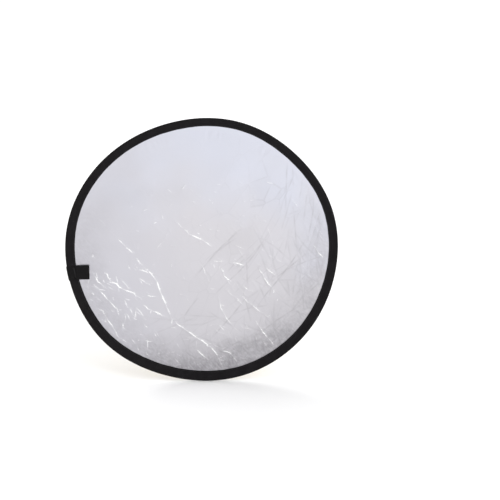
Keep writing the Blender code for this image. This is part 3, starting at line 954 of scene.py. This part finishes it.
def foil_cloth(name, lit_and_shaded_tones, top_highlight_from, worn, crushed_and_shade_tone, fold_shade, facet_line_shade, facet_shade, roughness):
    """Metallised film on thin nylon: satin and clouded, with painted shade on the left and a painted
    highlight towards the top, pale on worn cracks that are also a painted highlight, greyer where crushed,
    and painted shade along folds and on facets.
    """
    nodes = Nodes(bpy.data.materials.new(name))
    where = nodes.uv()
    fine = nodes.cloud(where, 260.0, 2.0, 0.6)
    grain = nodes.cloud(where, 1500.0, 2.0, 0.6)
    patchy = nodes.cloud(where, 40.0, 6.0, 0.7)
    streaks = nodes.cloud(nodes.turned(where, math.radians(40), (1.0, 2.5, 1.0)), 260.0, 4.0, 0.6)
    crushed = nodes.attribute("crushed")
    faceted = nodes.attribute("faceted")

    place = nodes.split(where)
    sideways = nodes.times(place["X"], 0.56)
    upward = nodes.math("ADD", sideways, nodes.times(place["Y"], 1.6))
    top_highlight_reach = nodes.math("ADD", nodes.times(nodes.cloud(where, 6.0, 2.0, 0.5), 0.6), upward)
    shaded_left_tone, right_tone, top_highlight_tone = lit_and_shaded_tones
    # painted shade: a darker tone on the left; painted highlight: a brighter tone towards the top
    colour = nodes.mix(nodes.steps(place["X"], -0.22, 0.04), shaded_left_tone, right_tone)
    colour = nodes.mix(nodes.steps(top_highlight_reach, top_highlight_from, top_highlight_from + 0.45), colour, top_highlight_tone)
    # greyer where crushed: crushed film, with painted shade there as well
    mottle = nodes.steps(nodes.math("ADD", patchy, streaks), 0.7, 1.3)
    mottle = nodes.times(crushed, nodes.between(mottle, 0.4, 1.1))
    colour = nodes.mix(mottle, colour, crushed_and_shade_tone)

    # painted shade along folds, between facets and on each facet
    painted_facet_lines, painted_facet_tone = facet_shade_pattern(nodes, where)
    painted_facet_lines = nodes.times(nodes.times(painted_facet_lines, faceted), facet_line_shade)
    painted_fold_shade = nodes.math("MAXIMUM", painted_facet_lines, nodes.attribute("painted_fold_shade"))
    painted_facet_tone = nodes.times(nodes.times(painted_facet_tone, faceted), facet_shade)
    shade = nodes.math("ADD", nodes.times(painted_fold_shade, fold_shade), painted_facet_tone)
    colour = nodes.mix(shade, colour, crushed_and_shade_tone)

    # pale worn cracks, which also stand in for a painted highlight
    beads = nodes.between(nodes.steps(nodes.cloud(where, 420.0, 2.0, 0.6), 0.35, 0.6), 0.45, 1.0)
    worn_crack_highlight = nodes.steps(nodes.times(nodes.attribute("light"), beads), 0.05, 0.55)
    colour = nodes.mix(worn_crack_highlight, colour, worn)

    nodes.bump(worn_crack_highlight, 0.4, 0.0004)
    nodes.bump(painted_fold_shade, -0.5, 0.0006)
    nodes.bump(fine, 0.10, 0.0005)
    nodes.bump(streaks, nodes.between(crushed, 0.05, 0.6), 0.002)
    nodes.bump(patchy, nodes.between(crushed, 0.05, 0.4), 0.003)
    nodes.bump(woven(nodes, 0.0007, 0.0007), 0.06, 0.0001)
    nodes.bump(grain, 0.05, 0.0001)
    rough = nodes.between(fine, roughness - 0.04, roughness + 0.04)
    return nodes.finish(Base_Color=colour, Metallic=1.0, Roughness=rough)


def facet_shade_pattern(nodes, where):
    """Facets painted on the film, with no buckling in its surface: the broken painted shade lines between
    them, and a painted shade for each facet as if it turned from the light, both from 0 to 1."""
    slanted = nodes.turned(where, math.radians(-35), (1.0, 1.8, 1.0))
    cells = {"Vector": slanted, "Scale": 30.0}
    edge = nodes.add("ShaderNodeTexVoronoi", cells, feature="DISTANCE_TO_EDGE").outputs["Distance"]
    line = nodes.math("SUBTRACT", 1.0, nodes.steps(edge, 0.0, 0.04))
    breaks = nodes.steps(nodes.cloud(slanted, 25.0, 2.0, 0.6), 0.4, 0.55)
    colour = nodes.add("ShaderNodeTexVoronoi", cells).outputs["Color"]
    painted_facet_tone = nodes.add("ShaderNodeSeparateColor", {"Color": colour}).outputs["Red"]
    return nodes.times(line, breaks), painted_facet_tone


def black_cloth(name, colour, worn, across, along, depth):
    """Black woven nylon: ribbed, slightly faded on its high threads, with lint."""
    nodes = Nodes(bpy.data.materials.new(name))
    where = nodes.uv()
    weave = woven(nodes, across, along)
    fade = nodes.cloud(where, 45.0, 4.0, 0.6)
    lint = nodes.steps(nodes.cloud(where, 900.0, 2.0, 0.7), 0.66, 0.74)
    tone = nodes.mix(nodes.times(weave, nodes.steps(fade, 0.3, 0.75)), colour, worn)
    tone = nodes.mix(nodes.times(lint, 0.25), tone, tuple(4 * c for c in worn))
    nodes.bump(weave, 0.8, depth)
    nodes.bump(fade, 0.25, 0.0006)
    return nodes.finish(
        Base_Color=tone,
        Roughness=nodes.between(fade, 0.72, 0.92),
        Sheen_Weight=0.02,
        Sheen_Roughness=0.5,
        Specular_IOR_Level=0.12,
    )


def thread_material():
    """Black polyester thread, with the twist of its strands."""
    nodes = Nodes(bpy.data.materials.new("black_thread"))
    place = nodes.split(nodes.uv())
    slanted = nodes.math("ADD", place["X"], place["Y"])
    twist = nodes.between(nodes.math("SINE", nodes.times(slanted, math.tau / 0.0005)), 0.5, 1.0)
    tone = nodes.mix(twist, (0.010, 0.010, 0.011), (0.022, 0.021, 0.023))
    nodes.bump(twist, 0.6, 0.00008)
    return nodes.finish(Base_Color=tone, Roughness=nodes.between(twist, 0.45, 0.65))


def steel_material():
    """Tempered spring steel, brushed along the band, with a straw and blue tint in places."""
    nodes = Nodes(bpy.data.materials.new("spring_steel"))
    where = nodes.add("ShaderNodeTexCoord").outputs["Object"]
    streaks = nodes.add("ShaderNodeMapping", {"Vector": where, "Scale": (30.0, 2500.0, 30.0)})
    brushed = nodes.cloud(streaks.outputs["Vector"], 1.0, 3.0, 0.6)
    tint = nodes.steps(nodes.cloud(where, 25.0, 2.0, 0.5), 0.45, 0.7)
    colour = nodes.mix(tint, (0.42, 0.42, 0.43), (0.40, 0.36, 0.30))
    nodes.bump(brushed, 0.3, 0.0001)
    return nodes.finish(Base_Color=colour, Metallic=1.0, Roughness=nodes.between(brushed, 0.25, 0.45))


# Studio

CAMERA_DISTANCE = 8.0
CAMERA_RISE = math.radians(15.8)
CAMERA_TURN = math.radians(-1.9)  # from a little to the left
VIEW_WIDTH = 1.100  # metres across the view at the disc
AIM = Vector((0.1055, 0.0, 0.0008))  # right of the disc, which stands left of the middle of the view
FLOOR_DROP = 0.001
FLOOR_REACH = 30.0
LIGHT_SIZE, LIGHT_POWER = 1.0, 30


def make_camera():
    data = bpy.data.cameras.new("camera")
    data.sensor_width = 36.0
    data.lens = data.sensor_width * CAMERA_DISTANCE / VIEW_WIDTH
    camera = new_object("camera", data)
    level = math.cos(CAMERA_RISE)
    aside, back = math.sin(CAMERA_TURN), -math.cos(CAMERA_TURN)
    away = Vector((aside * level, back * level, math.sin(CAMERA_RISE)))
    camera.location = AIM + away * CAMERA_DISTANCE
    camera.rotation_euler = (-away).to_track_quat("-Z", "Y").to_euler()
    bpy.context.scene.camera = camera


def make_light(name, place):
    """A square light, turned to the disc's centre."""
    data = bpy.data.lights.new(name, "AREA")
    data.shape = "RECTANGLE"
    data.size = data.size_y = LIGHT_SIZE
    data.energy = LIGHT_POWER
    light = new_object(name, data)
    light.location = place
    light.rotation_euler = (-Vector(place)).to_track_quat("-Z", "Y").to_euler()


def make_floor():
    nodes = Nodes(bpy.data.materials.new("studio_floor"))
    where = nodes.add("ShaderNodeTexCoord").outputs["Object"]
    tone = nodes.mix(nodes.cloud(where, 3.0, 3.0), (0.92, 0.92, 0.92), (0.94, 0.94, 0.94))
    material = nodes.finish(Base_Color=tone, Roughness=0.9)
    mesh = bpy.data.meshes.new("floor")
    corners = [(FLOOR_REACH * x, FLOOR_REACH * y) for x, y in ((-1, -1), (1, -1), (1, 1), (-1, 1))]
    mesh.from_pydata([(x, y, -DISC_RADIUS - FLOOR_DROP) for x, y in corners], [], [(0, 1, 2, 3)])
    mesh.materials.append(material)
    floor = new_object("floor", mesh)


def make_world():
    """Soft light from above, and brighter at two opposite corners of the studio, one for each side."""
    nodes = Nodes(bpy.data.worlds.new("studio"), "Background")
    where = nodes.add("ShaderNodeTexCoord").outputs["Generated"]
    place = nodes.split(where)
    corner = nodes.times(place["X"], place["Y"])
    around = nodes.steps(corner, 0.3, -0.3, 0.36, 1.1)
    overhead = nodes.steps(place["Z"], 0.3, 0.9, 0.0, 0.65)
    strength = nodes.math("ADD", around, overhead)
    bpy.context.scene.world = nodes.finish(Color=(1.0, 1.0, 1.0, 1.0), Strength=strength)


def make_studio():
    make_camera()
    make_floor()
    make_world()
    make_light("key", (1.5, -3.0, 1.4))
    make_light("back_key", (-1.5, 3.0, 1.4))
    bpy.context.scene.view_settings.view_transform = "Standard"


def main():
    make_studio()
    # each film: tones for the painted shade on the left, the base and the painted highlight at the top;
    # where that highlight starts; the pale colour of worn cracks, also a painted highlight; and the grey of
    # crushed film, also painted shade
    silver = foil_cloth(
        "silver_film", [(0.557, 0.550, 0.592), (0.598, 0.585, 0.615), (0.600, 0.612, 0.685)], 0.3,
        (1.0, 1.0, 1.0), (0.33, 0.32, 0.34),
        fold_shade=0.5, facet_line_shade=0.35, facet_shade=0.09, roughness=0.34,
    )
    gold = foil_cloth(
        "gold_film", [(0.60, 0.44, 0.142), (0.61, 0.44, 0.142), (0.80, 0.58, 0.225)], 0.45,
        (0.90, 0.70, 0.33), (0.22, 0.155, 0.05),
        fold_shade=0.62, facet_line_shade=0.9, facet_shade=0.21, roughness=0.32,
    )
    tape = black_cloth("black_tape", (0.006, 0.005, 0.006), (0.013, 0.012, 0.013), 0.0008, 0.0012, 0.0002)
    webbing = black_cloth(
        "black_webbing", (0.005, 0.0045, 0.005), (0.011, 0.010, 0.010), 0.0016, 0.0016, 0.0003
    )
    thread = thread_material()
    steel = steel_material()

    make_sheet(
        "silver_sheet", -1, silver, folds=SILVER_FOLDS, groups=SILVER_CREASES,
        crushed_at=math.radians(-77), crush=(0.40, 0.56), faceted_at=math.radians(-20), seed=101,
    )
    make_sheet(
        "gold_sheet", 1, gold, folds=[], groups=GOLD_CREASES,
        crushed_at=math.radians(-25), crush=(0.30, 1.0), faceted_at=math.radians(-53), seed=202,
    )
    make_binding(tape)
    make_band(steel)
    make_ferrule(steel)
    make_seam(-1, "front", thread)
    make_seam(1, "back", thread)
    make_tab_wrap(webbing)
    make_tab_loop(webbing)
    make_bartack(-1, "front", thread)
    make_bartack(1, "back", thread)


main()
